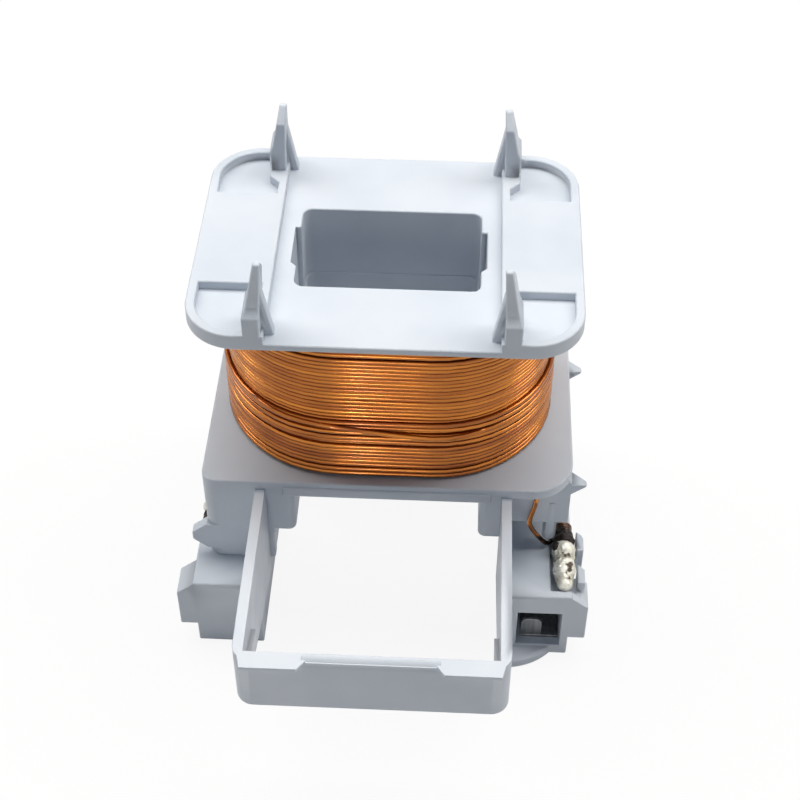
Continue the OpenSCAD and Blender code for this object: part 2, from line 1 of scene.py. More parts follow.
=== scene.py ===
"""Contactor coil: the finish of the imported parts.

The mouldings get rolled edges and a satin plastic, the copper is wound turn by turn,
and the leads, solder joints and contacts get their own meshes and metals.
Lengths are metres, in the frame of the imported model.
"""

import itertools
import math

import bmesh
import bpy
from bpy.props import FloatProperty, FloatVectorProperty, IntProperty, PointerProperty
from mathutils import Matrix, Vector, noise
from mathutils.bvhtree import BVHTree
from mathutils.geometry import intersect_point_line
from mathutils.kdtree import KDTree


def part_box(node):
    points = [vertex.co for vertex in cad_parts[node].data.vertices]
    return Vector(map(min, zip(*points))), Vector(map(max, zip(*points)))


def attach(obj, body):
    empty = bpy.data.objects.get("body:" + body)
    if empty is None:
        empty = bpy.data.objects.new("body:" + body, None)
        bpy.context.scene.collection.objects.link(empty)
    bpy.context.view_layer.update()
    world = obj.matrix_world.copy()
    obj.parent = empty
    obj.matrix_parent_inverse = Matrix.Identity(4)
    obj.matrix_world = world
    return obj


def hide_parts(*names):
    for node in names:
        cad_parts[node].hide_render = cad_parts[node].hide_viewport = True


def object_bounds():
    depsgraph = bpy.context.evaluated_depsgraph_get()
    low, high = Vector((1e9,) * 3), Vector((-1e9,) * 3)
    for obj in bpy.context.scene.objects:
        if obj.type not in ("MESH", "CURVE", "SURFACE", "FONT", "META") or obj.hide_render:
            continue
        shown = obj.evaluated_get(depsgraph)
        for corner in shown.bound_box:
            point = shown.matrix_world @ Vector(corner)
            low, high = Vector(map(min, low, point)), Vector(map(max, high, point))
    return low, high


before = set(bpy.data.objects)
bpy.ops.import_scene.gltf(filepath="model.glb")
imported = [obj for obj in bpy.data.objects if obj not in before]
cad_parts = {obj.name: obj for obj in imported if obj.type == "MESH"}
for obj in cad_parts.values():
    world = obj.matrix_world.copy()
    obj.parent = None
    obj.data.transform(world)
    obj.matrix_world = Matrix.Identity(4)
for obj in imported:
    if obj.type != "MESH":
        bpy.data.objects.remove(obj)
CAD_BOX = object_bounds()

bl_info = {
    "name": "Contactor coil",
    "version": (1, 0, 0),
    "blender": (4, 5, 0),
    "location": "View3D > Sidebar > Coil",
    "description": "Dresses the packed contactor coil: mouldings, winding, leads, solder and contacts",
    "category": "Object",
}

MM = 0.001
COIL = "coil"

# Way to the coil's middle on each side. The left terminal is the right one turned half round.
INWARD = {"left": 1, "right": -1}

# Copies of the solids: distance for welding, and the angles below which faces are one and above which edges
# are rolled, first wide and then at a share of the radius
WELD = 2e-6
FLAT = math.radians(0.6)
SHARP = math.radians(32)
STILL_SHARP = math.radians(50)
FINE_SHARE = 0.4
# Edges run back to back below this cosine, and a strip of this many radii is too thin to roll both
BACK_TO_BACK = -0.4
THIN_STRIP = 2.2
# Signs of a place too tight to roll: a vertex this many radii off the solid, a face whose triangles cover
# this many times its area, and an outline that turns back past this cosine
STRAY = 0.85
FOLDED = 1.02
TURNED_BACK = -0.5
TINY_AREA = 1e-9

# Second colours of the materials
MOULDING_SPECK = (0.30, 0.31, 0.36, 1)
SOLDER_SHADE = (0.50, 0.48, 0.40, 1)
FLUX_SPOT = (0.075, 0.05, 0.035, 1)
FLUX_DEEP = (0.010, 0.006, 0.005, 1)
TIN_SHADE = (0.16, 0.165, 0.175, 1)
WHITE = (1, 1, 1, 1)

# Shared effects: scale of the grain's patches beside the grain, noise that only a few specks pass,
# and the softness of their edges
PATCH_SCALE = 0.08
SPECK_LEVEL = 0.78
SPECK_EDGE = 0.05

# Breadth of a wound turn beside the wire's, because neighbouring turns press on each other
TIGHT = 1.06
# Pitch of the turns beside the wire's diameter
FULL_PITCH = 1.004
LAST_PITCH = 1.02
# Steps up in a layer: from which turn on, and how high
FULL_STEPS = ((20.45, 0.08 * MM), (31.88, 0.26 * MM))
LAST_STEPS = (
    (0.88, 0.12 * MM), (1.88, 0.24 * MM), (2.88, 0.05 * MM), (8.28, 0.38 * MM), (10.4, 0.24 * MM),
    (11.3, 0.24 * MM),
)
# Shares of a turn over which the wire steps up and over which an end dives under, and the dive in pitches
STEP_LENGTH = 0.22
DIVE_LENGTH = 0.12
DIVE_DEPTH = 1.2
# Waver of the turns: noise per metre and per turn, its height beside its breadth, and the height's own noise
WAVES = 160
WAVES_PER_TURN = 0.9
WAVER_RISE = 0.6
RISE_NOISE = Vector((7.3, 1.9, 4.1))

# Strand across the front, in shares of a turn: its start and end, the way over which it leaves and rejoins
# the layer, and where and over what way it comes down
STRAND_START = 0.38
STRAND_END = 0.66
STRAND_EASE = 0.07
CROSSING = 0.45
CROSSING_LENGTH = 0.14
# Turns that it comes down, how deep its ends sink in wires, and how far its middle rises from there
STRAND_DROP = 2
STRAND_SUNK = 0.15
STRAND_RISE = 0.95

# Leads: points for each stretch of a route, and reach of the scorch, which fades out at a multiple of it.
# On the leads the reach is long, so the darkening there is scorch near the wrap and painted shade further up.
ROUTE_STEPS = 10
LEAD_SCORCH_AND_SHADE = 7.6 * MM
WRAP_SCORCH = 2.2 * MM
SCORCH_FADE = 1.3
# Wraps round the pins: turns, points in each, and how uneven they are
WRAP_TURNS = 3
WRAP_STEPS = 28
WRAP_RAGGED = 0.05
RAGGED_WAVES = 0.7
RAGGED_SIDE = 3.1

# Beads of solder: place as a share of the joint's length, size and height above the pin in the joint's radii
BEADS = ((0.22, 1.0, 0.05), (0.50, 0.86, 0.06), (0.66, 0.94, 0.0), (0.86, 0.74, -0.04), (0.95, 0.62, -0.04))
# Crusts of burnt flux: place from the joint's first end, where a minus is on the wrap, height and radius
CRUSTS = (
    (-0.1 * MM, 0.22 * MM, 1.15 * MM), (-0.7 * MM, 0.14 * MM, 1.1 * MM), (-1.3 * MM, 0.05 * MM, 0.95 * MM))
# Blot of flux on the first bead: place as a share of the joint's length, the rest in its radii
BLOT_ALONG = 0.2
BLOT_INWARD = 0.62
BLOT_UP = 0.55
BLOT_SIZE = 0.42
# Lumps on the balls: height in radii, noise per metre, share of the finer ones, and voxel of the skin
SOLDER_LUMPS = 0.15
CRUST_LUMPS = 0.24
BLOT_LUMPS = 0.3
LUMP_WAVES = 1100
FINE_LUMP_WAVES = 2600
FINE_LUMP_SHARE = 0.7
SKIN_VOXEL = 0.07 * MM
# Size of the left joint beside the right one: the photo shows nothing of it past the leg
LEFT_JOINT = 0.66

# Lamps: place, width and height
SOFTBOX = ((10 * MM, 140 * MM, 520 * MM), 1700 * MM, 320 * MM)
STRIP = ((-24 * MM, -380 * MM, 100 * MM), 10 * MM, 120 * MM)
FLOOR_SIZE = 2

# Ways of the two leads from the winding to the pins, in millimetres
FINISH_ROUTE = (
    (13.2, -7.6, 1.9), (13.2, -7.6, 0.95), (13.2, -7.6, -0.5), (13.7, -8.1, -1.0), (16.3, -10.2, -1.0),
    (16.3, -12.35, -1.75), (16.175, -12.35, -3.465), (15.8, -12.35, -5.481), (15.925, -12.35, -6.678),
    (16.8, -12.35, -8.189), (17.925, -12.1, -9.7), (18.73, -11.06, -9.9),
)
START_ROUTE = (
    (-13.2, -3.2, 1.9), (-13.2, -3.2, 0.95), (-13.2, -3.2, -1.867), (-14.2, -5.2, -6.3),
    (-18.73, -10.64, -9.9),
)


class CoilFinish(bpy.types.PropertyGroup):
    """Colours of the coil's materials and the roundness of its edges."""

    moulding: FloatVectorProperty(
        name="Moulding", description="Colour of the bobbin and the terminal carrier",
        subtype="COLOR", default=(0.59, 0.635, 0.70), min=0, max=1)
    moulding_cast: FloatVectorProperty(
        name="Moulding cast", description="Cooler tone that clouds the moulding",
        subtype="COLOR", default=(0.535, 0.585, 0.655), min=0, max=1)
    enamel: FloatVectorProperty(
        name="Enamel", description="Lit tone of the enamelled copper",
        subtype="COLOR", default=(0.60, 0.215, 0.024), min=0, max=1)
    enamel_deep: FloatVectorProperty(
        name="Deep enamel", description="Tone of the turns with the thicker enamel",
        subtype="COLOR", default=(0.36, 0.10, 0.011), min=0, max=1)
    # Painted shade: a darker copy of the enamel for the last and inner layers, standing in for the shade on
    # the winding's lower band. The wire is the same.
    shaded_enamel: FloatVectorProperty(
        name="Last enamel", description="Browner tone of the last layer",
        subtype="COLOR", default=(0.56, 0.19, 0.021), min=0, max=1)
    shaded_enamel_deep: FloatVectorProperty(
        name="Deep last enamel", description="Tone of the last layer's darkest turns",
        subtype="COLOR", default=(0.28, 0.07, 0.008), min=0, max=1)
    # Also the colour of the painted shade on the lower end of the leads.
    scorch: FloatVectorProperty(
        name="Scorch", description="Colour of enamel and flux burnt by soldering",
        subtype="COLOR", default=(0.016, 0.010, 0.008), min=0, max=1)
    solder: FloatVectorProperty(
        name="Solder", description="Colour of the solder",
        subtype="COLOR", default=(0.86, 0.85, 0.77), min=0, max=1)
    tin: FloatVectorProperty(
        name="Tin", description="Colour of the tinned contacts",
        subtype="COLOR", default=(0.25, 0.255, 0.265), min=0, max=1)
    edge: FloatProperty(
        name="Edge", description="Radius of the mouldings' edges",
        unit="LENGTH", default=0.2 * MM, min=0.05 * MM, max=0.3 * MM)
    metal_edge: FloatProperty(
        name="Metal edge", description="Radius of the stamped contacts' edges",
        unit="LENGTH", default=0.06 * MM, min=0.02 * MM, max=0.1 * MM)


class CoilWinding(bpy.types.PropertyGroup):
    """Wire and turns of the winding."""

    wire: FloatProperty(
        name="Wire", description="Diameter of the enamelled wire",
        unit="LENGTH", default=0.5 * MM, min=0.3 * MM, max=0.6 * MM)
    corner: FloatProperty(
        name="Corner", description="Corner radius over the full layers",
        unit="LENGTH", default=12 * MM, min=6 * MM, max=12.4 * MM)
    full_turns: IntProperty(
        name="Full turns", description="Turns in a full layer", default=36, min=20, max=37)
    last_turns: IntProperty(
        name="Last turns", description="Turns in the last layer", default=13, min=6, max=24)
    waver: FloatProperty(
        name="Waver", description="How far a turn strays from its even place",
        unit="LENGTH", default=0.03 * MM, min=0, max=0.1 * MM)
    slack: FloatProperty(
        name="Slack", description="How far the outer turns stand off the layers below",
        unit="LENGTH", default=0.45 * MM, min=0, max=0.6 * MM)


class CoilStage(bpy.types.PropertyGroup):
    """Camera, light and floor."""

    lens: FloatProperty(
        name="Lens", description="Focal length", unit="CAMERA", default=71.46, min=20, max=200)
    eye: FloatVectorProperty(
        name="Eye", description="Place of the camera",
        subtype="TRANSLATION", unit="LENGTH", default=(6.7 * MM, -125.6 * MM, 125.7 * MM))
    yaw: FloatProperty(
        name="Yaw", description="Turn of the view about Z", subtype="ANGLE", default=math.radians(2.56))
    pitch: FloatProperty(
        name="Pitch", description="Dip of the view", subtype="ANGLE", default=math.radians(45.05))
    roll: FloatProperty(
        name="Roll", description="Turn about the view", subtype="ANGLE", default=math.radians(0.16))
    ambient: FloatProperty(
        name="Ambient", description="Even light from all round", default=0.08, min=0, max=1)
    shade: FloatVectorProperty(
        name="Shade", description="Cool tone of the light in the shade",
        subtype="COLOR", default=(0.42, 0.64, 1.0), min=0, max=1)
    key: FloatProperty(
        name="Key", description="Power of the overhead softbox", unit="POWER", default=8.9, min=0)
    warmth: FloatVectorProperty(
        name="Warmth", description="Tone of the lamps",
        subtype="COLOR", default=(1.0, 0.965, 0.905), min=0, max=1)
    glint: FloatProperty(
        name="Glint", description="Power of the strip in front that glints on the wire",
        unit="POWER", default=0.15, min=0)
    floor: FloatProperty(name="Floor", description="Lightness of the floor", default=0.8, min=0, max=1)
    bounce: FloatProperty(
        name="Bounce", description="Lightness of the floor for the light that it throws back",
        default=0.62, min=0, max=1)
    glow: FloatProperty(
        name="Glow", description="Share of plain white in the floor as the camera sees it",
        default=0.9, min=0, max=1)


# Shader trees

def set_inputs(tree, node, inputs):
    """Sets a node's inputs, or links them where a socket is given."""
    for name, value in inputs.items():
        if isinstance(value, bpy.types.NodeSocket):
            tree.links.new(value, node.inputs[name])
        else:
            node.inputs[name].default_value = value


def add_node(tree, kind, inputs=None, **settings):
    """Adds a node, sets it up, and sets or links its inputs."""
    made = tree.nodes.new("ShaderNode" + kind)
    for name, value in settings.items():
        setattr(made, name, value)
    set_inputs(tree, made, inputs or {})
    return made


def opaque(colour):
    return (*colour, 1.0)


def new_group(name, inputs, outputs):
    """A shader node group with its sockets, and its input and output nodes."""
    group = bpy.data.node_groups.new(name, "ShaderNodeTree")
    for label, kind in inputs:
        group.interface.new_socket(name=label, in_out="INPUT", socket_type="NodeSocket" + kind)
    for label, kind in outputs:
        group.interface.new_socket(name=label, in_out="OUTPUT", socket_type="NodeSocket" + kind)
    return group, group.nodes.new("NodeGroupInput"), group.nodes.new("NodeGroupOutput")


def clouds_group():
    """Soft clouds of two colours, stretched along any axis."""
    group, given, out = new_group(
        "Clouds", [("Light", "Color"), ("Deep", "Color"), ("Stretch", "Vector"), ("Detail", "Float")],
        [("Colour", "Color")])
    place = add_node(group, "TexCoord").outputs["Object"]
    mapped = add_node(group, "Mapping", {"Vector": place, "Scale": given.outputs["Stretch"]})
    cloud = add_node(group, "TexNoise", {
        "Vector": mapped.outputs["Vector"], "Scale": 1.0, "Detail": given.outputs["Detail"]})
    mask = add_node(group, "MapRange", {"Value": cloud.outputs["Fac"], "From Min": 0.32, "From Max": 0.68})
    mix = add_node(group, "MixRGB", {
        "Fac": mask.outputs["Result"], "Color1": given.outputs["Light"], "Color2": given.outputs["Deep"]})
    group.links.new(mix.outputs["Color"], out.inputs["Colour"])
    return group


def grain_group():
    """Fine grain: a roughness that varies a little, and a height for the bump."""
    group, given, out = new_group(
        "Grain", [("Scale", "Float"), ("Smooth", "Float"), ("Rough", "Float")],
        [("Roughness", "Float"), ("Height", "Float")])
    place = add_node(group, "TexCoord").outputs["Object"]
    grain = add_node(group, "TexNoise", {"Vector": place, "Scale": given.outputs["Scale"], "Detail": 3.0})
    broad = add_node(group, "Math", {0: given.outputs["Scale"], 1: PATCH_SCALE}, operation="MULTIPLY")
    patch = add_node(group, "TexNoise", {"Vector": place, "Scale": broad.outputs[0], "Detail": 2.0})
    rough = add_node(group, "MapRange", {
        "Value": patch.outputs["Fac"], "From Min": 0.3, "From Max": 0.7,
        "To Min": given.outputs["Smooth"], "To Max": given.outputs["Rough"]})
    group.links.new(rough.outputs["Result"], out.inputs["Roughness"])
    group.links.new(grain.outputs["Fac"], out.inputs["Height"])
    return group


def specks_group():
    """Sparse specks of another colour."""
    group, given, out = new_group(
        "Specks", [("Colour", "Color"), ("Speck", "Color"), ("Scale", "Float"), ("Amount", "Float")],
        [("Colour", "Color"), ("Mask", "Float")])
    place = add_node(group, "TexCoord").outputs["Object"]
    blot = add_node(group, "TexNoise", {"Vector": place, "Scale": given.outputs["Scale"], "Detail": 4.0})
    limit = add_node(group, "Math", {0: SPECK_LEVEL, 1: given.outputs["Amount"]}, operation="SUBTRACT")
    full = add_node(group, "Math", {0: limit.outputs[0], 1: SPECK_EDGE}, operation="ADD")
    mask = add_node(group, "MapRange", {
        "Value": blot.outputs["Fac"], "From Min": limit.outputs[0], "From Max": full.outputs[0]})
    mix = add_node(group, "MixRGB", {
        "Fac": mask.outputs["Result"], "Color1": given.outputs["Colour"], "Color2": given.outputs["Speck"]})
    group.links.new(mix.outputs["Color"], out.inputs["Colour"])
    group.links.new(mask.outputs["Result"], out.inputs["Mask"])
    return group


EFFECTS = {"Clouds": clouds_group, "Grain": grain_group, "Specks": specks_group}


def place_group(tree, name, inputs):
    """Places a shared effect in a tree. Its node group is built the first time it is asked for."""
    group = bpy.data.node_groups.get(name) or EFFECTS[name]()
    return add_node(tree, "Group", inputs, node_tree=group)


def new_material(name):
    """A material with an empty tree, and its Principled shader joined to the output."""
    material = bpy.data.materials.new(name)
    material.use_nodes = True
    tree = material.node_tree
    tree.nodes.clear()
    shader = add_node(tree, "BsdfPrincipled")
    add_node(tree, "OutputMaterial", {"Surface": shader.outputs["BSDF"]})
    return material, tree, shader


def bump(tree, shader, height, strength, distance):
    """Joins a height to a shader's normal."""
    raised = add_node(tree, "Bump", {"Height": height, "Strength": strength, "Distance": distance})
    set_inputs(tree, shader, {"Normal": raised.outputs["Normal"]})


def moulding_material(finish):
    """Satin moulded plastic with a faint cloud, a fine spark-eroded grain and a few specks."""
    material, tree, shader = new_material("moulding")
    clouds = place_group(tree, "Clouds", {
        "Light": opaque(finish.moulding), "Deep": opaque(finish.moulding_cast),
        "Stretch": (120, 120, 120), "Detail": 3.0})
    specks = place_group(tree, "Specks", {
        "Colour": clouds.outputs["Colour"], "Speck": MOULDING_SPECK, "Scale": 900.0, "Amount": 0.0})
    grain = place_group(tree, "Grain", {"Scale": 5200.0, "Smooth": 0.40, "Rough": 0.54})
    set_inputs(tree, shader, {
        "Base Color": specks.outputs["Colour"], "Roughness": grain.outputs["Roughness"],
        "Specular IOR Level": 0.3})
    bump(tree, shader, grain.outputs["Height"], strength=0.25, distance=0.03 * MM)
    return material


def copper(tree, shader, light, deep):
    """Sets the enamelled copper's shine, and returns its colour, which changes from turn to turn."""
    clouds = place_group(tree, "Clouds", {
        "Light": opaque(light), "Deep": opaque(deep), "Stretch": (110, 110, 1900), "Detail": 1.5})
    grain = place_group(tree, "Grain", {"Scale": 2400.0, "Smooth": 0.15, "Rough": 0.25})
    set_inputs(tree, shader, {
        "Roughness": grain.outputs["Roughness"], "Metallic": 0.74, "Coat Weight": 0.25,
        "Coat Roughness": 0.09})
    return clouds.outputs["Colour"]


def enamel_material(name, light, deep):
    """Enamelled copper."""
    material, tree, shader = new_material(name)
    set_inputs(tree, shader, {"Base Color": copper(tree, shader, light, deep)})
    return material


def scorch_and_shade_material(name, finish, burn, reach):
    """Copper that darkens to black near a point: scorch near a wrap, and with a long reach also painted
    shade.
    """
    material, tree, shader = new_material(name)
    colour = copper(tree, shader, finish.enamel, finish.enamel_deep)
    place = add_node(tree, "TexCoord").outputs["Object"]
    away = add_node(tree, "VectorMath", {0: place, 1: burn}, operation="DISTANCE")
    ragged = add_node(tree, "TexNoise", {"Vector": place, "Scale": 1500.0, "Detail": 3.0})
    uneven = add_node(tree, "Math", {0: ragged.outputs["Fac"], 1: reach}, operation="MULTIPLY")
    edge = add_node(tree, "Math", {0: away.outputs["Value"], 1: uneven.outputs[0]}, operation="ADD")
    # Mask of the darkening: real scorch near the point, and painted shade where the reach is long.
    burnt = add_node(tree, "MapRange", {
        "Value": edge.outputs[0], "From Min": reach, "From Max": SCORCH_FADE * reach,
        "To Min": 1.0, "To Max": 0.0})
    mix = add_node(tree, "MixRGB", {
        "Fac": burnt.outputs["Result"], "Color1": colour, "Color2": opaque(finish.scorch)})
    set_inputs(tree, shader, {"Base Color": mix.outputs["Color"]})
    return material


def solder_material(finish):
    """Dull, pitted solder with spots of burnt flux."""
    material, tree, shader = new_material("solder")
    clouds = place_group(tree, "Clouds", {
        "Light": opaque(finish.solder), "Deep": SOLDER_SHADE, "Stretch": (650, 650, 650), "Detail": 3.0})
    specks = place_group(tree, "Specks", {
        "Colour": clouds.outputs["Colour"], "Speck": FLUX_SPOT, "Scale": 760.0, "Amount": 0.2})
    grain = place_group(tree, "Grain", {"Scale": 3800.0, "Smooth": 0.42, "Rough": 0.68})
    clean = add_node(tree, "MapRange", {"Value": specks.outputs["Mask"], "To Min": 0.55, "To Max": 0.0})
    set_inputs(tree, shader, {
        "Base Color": specks.outputs["Colour"], "Roughness": grain.outputs["Roughness"],
        "Metallic": clean.outputs["Result"]})
    bump(tree, shader, grain.outputs["Height"], strength=0.8, distance=0.14 * MM)
    return material


def flux_material(finish):
    """Glassy residue of burnt flux."""
    material, tree, shader = new_material("burnt_flux")
    clouds = place_group(tree, "Clouds", {
        "Light": opaque(finish.scorch), "Deep": FLUX_DEEP, "Stretch": (1400, 1400, 1400), "Detail": 3.0})
    grain = place_group(tree, "Grain", {"Scale": 3000.0, "Smooth": 0.24, "Rough": 0.5})
    set_inputs(tree, shader, {
        "Base Color": clouds.outputs["Colour"], "Roughness": grain.outputs["Roughness"],
        "Specular IOR Level": 0.2})
    bump(tree, shader, grain.outputs["Height"], strength=0.4, distance=0.06 * MM)
    return material


def tin_material(finish):
    """Dull tin on stamped strip, with faint streaks from rolling."""
    material, tree, shader = new_material("tinned_contact")
    clouds = place_group(tree, "Clouds", {
        "Light": opaque(finish.tin), "Deep": TIN_SHADE, "Stretch": (2600, 2600, 300), "Detail": 2.0})
    grain = place_group(tree, "Grain", {"Scale": 3200.0, "Smooth": 0.32, "Rough": 0.5})
    set_inputs(tree, shader, {
        "Base Color": clouds.outputs["Colour"], "Roughness": grain.outputs["Roughness"], "Metallic": 0.9})
    return material


# Meshes

def add_piece(name, mesh, material, body, slot, *replaced):
    """Puts a finished mesh in the scene as a piece of the coil."""
    piece = bpy.data.objects.new(name, mesh)
    bpy.context.scene.collection.objects.link(piece)
    mesh.materials.clear()
    mesh.materials.append(material)
    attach(piece, body)
    if replaced:
        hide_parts(*replaced)
    return piece


def to_mesh(bm, name):
    """A smooth mesh from a bmesh, which is freed."""
    mesh = bpy.data.meshes.new(name)
    bm.to_mesh(mesh)
    bm.free()
    mesh.shade_smooth()
    return mesh


def gap_between(a, b):
    """Shortest way from an end of one segment to another segment."""
    gaps = []
    for point, (start, end) in ((a[0], b), (a[1], b), (b[0], a), (b[1], a)):
        share = intersect_point_line(point, start, end)[1]
        gaps.append((point - start.lerp(end, min(max(share, 0), 1))).length)
    return min(gaps)


def thin_edges(bm, edges, radius):
    """Edges that run back to back across a strip of a face too thin for two rolled edges."""
    thin = set()
    for face in bm.faces:
        loops = [loop for loop in face.loops if loop.edge in edges]
        spans = [(loop.vert.co, loop.link_loop_next.vert.co) for loop in loops]
        ways = [(end - start).normalized() for start, end in spans]
        for i, k in itertools.combinations(range(len(loops)), 2):
            opposed = ways[i].dot(ways[k]) < BACK_TO_BACK
            if opposed and gap_between(spans[i], spans[k]) < THIN_STRIP * radius:
                thin.update((loops[i].edge, loops[k].edge))
    return thin


def folded_places(bm):
    """Vertices where a face's outline folds over itself."""
    spread = {}
    for corner in bm.calc_loop_triangles():
        a, b, c = (loop.vert.co for loop in corner)
        face = corner[0].face
        spread[face] = spread.get(face, 0) + (b - a).cross(c - a).length / 2
    places = []
    for face, area in spread.items():
        if area > FOLDED * face.calc_area() + TINY_AREA:
            turned = []
            for loop in face.loops:
                here, before, after = loop.vert.co, loop.link_loop_prev.vert.co, loop.link_loop_next.vert.co
                if (here - before).normalized().dot((after - here).normalized()) < TURNED_BACK:
                    turned.append(here)
            places += turned or [vertex.co for vertex in face.verts]
    return places


def roll_edges(source, radius, sharp):
    """A copy of a bmesh with its outer edges rolled over. Places too tight to roll stay square."""
    source.verts.index_update()
    skin = BVHTree.FromBMesh(source)
    corners = KDTree(len(source.verts))
    for vertex in source.verts:
        corners.insert(vertex.co, vertex.index)
    corners.balance()
    square = set()
    while True:
        bm = source.copy()
        edges = {
            e for e in bm.edges
            if e.is_manifold and e.is_convex and e.calc_face_angle() > sharp
            and not any(v.index in square for v in e.verts)}
        edges -= thin_edges(bm, edges, radius)
        bmesh.ops.bevel(
            bm, geom=list(edges), offset=radius, offset_type="OFFSET", affect="EDGES", segments=3,
            profile=0.5, material=-1, loop_slide=True)
        spoilt = [v.co for v in bm.verts if skin.find_nearest(v.co)[3] > STRAY * radius] + folded_places(bm)
        near = {corners.find(skin.find_nearest(place)[0])[1] for place in spoilt} - square
        if not near:
            return bm
        square |= near
        bm.free()


def rounded_solid(node, radius):
    """A welded copy of a solid with rolled edges, and finer ones where it is thin."""
    solid = bmesh.new()
    solid.from_mesh(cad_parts[node].data)
    bmesh.ops.remove_doubles(solid, verts=solid.verts, dist=WELD)
    bmesh.ops.dissolve_limit(solid, angle_limit=FLAT, verts=solid.verts, edges=solid.edges)
    rolled = roll_edges(solid, radius, SHARP)
    finer = roll_edges(rolled, FINE_SHARE * radius, STILL_SHARP)
    solid.free()
    rolled.free()
    return finer


def weigh_normals(piece):
    """Keeps the flat faces flat in the shading beside their rolled edges."""
    piece.data.set_sharp_from_angle(angle=STILL_SHARP)
    weighted = piece.modifiers.new("flat_faces", "WEIGHTED_NORMAL")
    weighted.weight = 100
    weighted.keep_sharp = True


def spline_points(points, steps):
    """A smooth curve through a few points."""
    ends = [points[0], *points, points[-1]]
    curve = []
    for a, b, c, d in zip(ends, ends[1:], ends[2:], ends[3:]):
        for step in range(steps):
            t = step / steps
            bend = (a - 2.5 * b + 2 * c - d / 2) + t * (1.5 * (b - c) + (d - a) / 2)
            curve.append(b + t * ((c - a) / 2 + t * bend))
    return [*curve, points[-1]]


def wire_mesh(name, diameter, *lines):
    """Round wire along lines of points."""
    line = bpy.data.curves.new(name, "CURVE")
    line.dimensions = "3D"
    line.bevel_depth = diameter / 2
    line.bevel_resolution = 2
    line.use_fill_caps = True
    for points in lines:
        spline = line.splines.new("POLY")
        spline.points.add(len(points) - 1)
        for target, point in zip(spline.points, points):
            target.co = (*point, 1)
    holder = bpy.data.objects.new(name, line)
    bpy.context.scene.collection.objects.link(holder)
    bpy.context.view_layer.update()
    swept = bpy.data.meshes.new_from_object(holder.evaluated_get(bpy.context.evaluated_depsgraph_get()))
    bpy.data.objects.remove(holder)
    bpy.data.curves.remove(line)
    bm = bmesh.new()
    bm.from_mesh(swept)
    bpy.data.meshes.remove(swept)
    bmesh.ops.remove_doubles(bm, verts=bm.verts, dist=WELD)
    bmesh.ops.recalc_face_normals(bm, faces=bm.faces)
    return to_mesh(bm, name)


def turn_outline(half_w, half_d, corner):
    """One turn of the winding, as points with their shares of the way round.

    It goes clockwise, seen from above, from the middle of the back.
    """
    arc_steps, edge_steps = 12, 5
    cx, cy = half_w - corner, half_d - corner
    centres = [(cx, cy), (cx, -cy), (-cx, -cy), (-cx, cy)]
    points = [Vector((0, half_d, 0))]
    for quarter, centre in enumerate(centres):
        for step in range(arc_steps + 1):
            angle = math.radians(90 * (quarter + step / arc_steps))
            target = Vector((*centre, 0)) + corner * Vector((math.sin(angle), math.cos(angle), 0))
            if step == 0:
                start = points[-1]
                points += [start.lerp(target, k / edge_steps) for k in range(1, edge_steps)]
            points.append(target)
    lengths = [0.0]
    closed = [*points, points[0]]
    for a, b in zip(closed, closed[1:]):
        lengths.append(lengths[-1] + (b - a).length)
    return [(point, length / lengths[-1]) for point, length in zip(points, lengths)]


def smooth_step(x):
    """Eases from 0 to 1 while x goes from 0 to 1."""
    x = min(max(x, 0.0), 1.0)
    return x * x * (3 - 2 * x)


def wind(outline, turns, bottom, pitch, steps, waver):
    """Points along a layer of turns that climbs from its bottom, with both ends tucked under the layer.

    steps holds (turn, height): from that turn on the wire steps up by that height, over part of a turn.
    """
    points = []
    for turn in range(turns):
        for place, share in outline:
            way = turn + share
            climb = sum(height * smooth_step((way - at) / STEP_LENGTH) for at, height in steps)
            level = bottom + pitch * (way + 0.5) + climb
            out = Vector((place.x, place.y, 0)).normalized()
            swing = Vector((place.x * WAVES, place.y * WAVES, turn * WAVES_PER_TURN))
            dive = 2 - smooth_step(way / DIVE_LENGTH) - smooth_step((turns - way) / DIVE_LENGTH)
            radial = waver * noise.noise(swing) - DIVE_DEPTH * pitch * dive
            rise = WAVER_RISE * waver * noise.noise(swing + RISE_NOISE)
            points.append(Vector((place.x, place.y, level + rise)) + out * radial)
    return points


def stray_turn(outline, points, turns, wire):
    """The strand that crosses the front over a wound layer, from its top turn on the left to a lower one."""
    strand = []
    for index, (place, share) in enumerate(outline):
        if STRAND_START < share < STRAND_END:
            upper = points[(turns - 1) * len(outline) + index]
            lower = points[(turns - 1 - STRAND_DROP) * len(outline) + index]
            along = lower.lerp(upper, smooth_step((share - CROSSING) / CROSSING_LENGTH))
            leaving = smooth_step((share - STRAND_START) / STRAND_EASE)
            proud = leaving * smooth_step((STRAND_END - share) / STRAND_EASE)
            out = Vector((place.x, place.y, 0)).normalized()
            strand.append(along + (STRAND_RISE * proud - STRAND_SUNK) * wire * out)
    return strand


# Operators

class COIL_OT_mouldings(bpy.types.Operator):
    """Rounds the edges of the bobbin halves and the terminal carrier and gives them their plastic"""

    bl_idname = "coil.mouldings"
    bl_label = "Mouldings"

    def execute(self, context):
        finish = context.scene.coil_finish
        material = moulding_material(finish)
        for node, name in (
                ("upper_former", "upper_bobbin_half"), ("lower_former", "lower_bobbin_half"),
                ("terminal_carrier", "label_frame_and_blocks")):
            mesh = to_mesh(rounded_solid(node, finish.edge), name)
            weigh_normals(add_piece(name, mesh, material, COIL, "moulding", node))
        return {"FINISHED"}


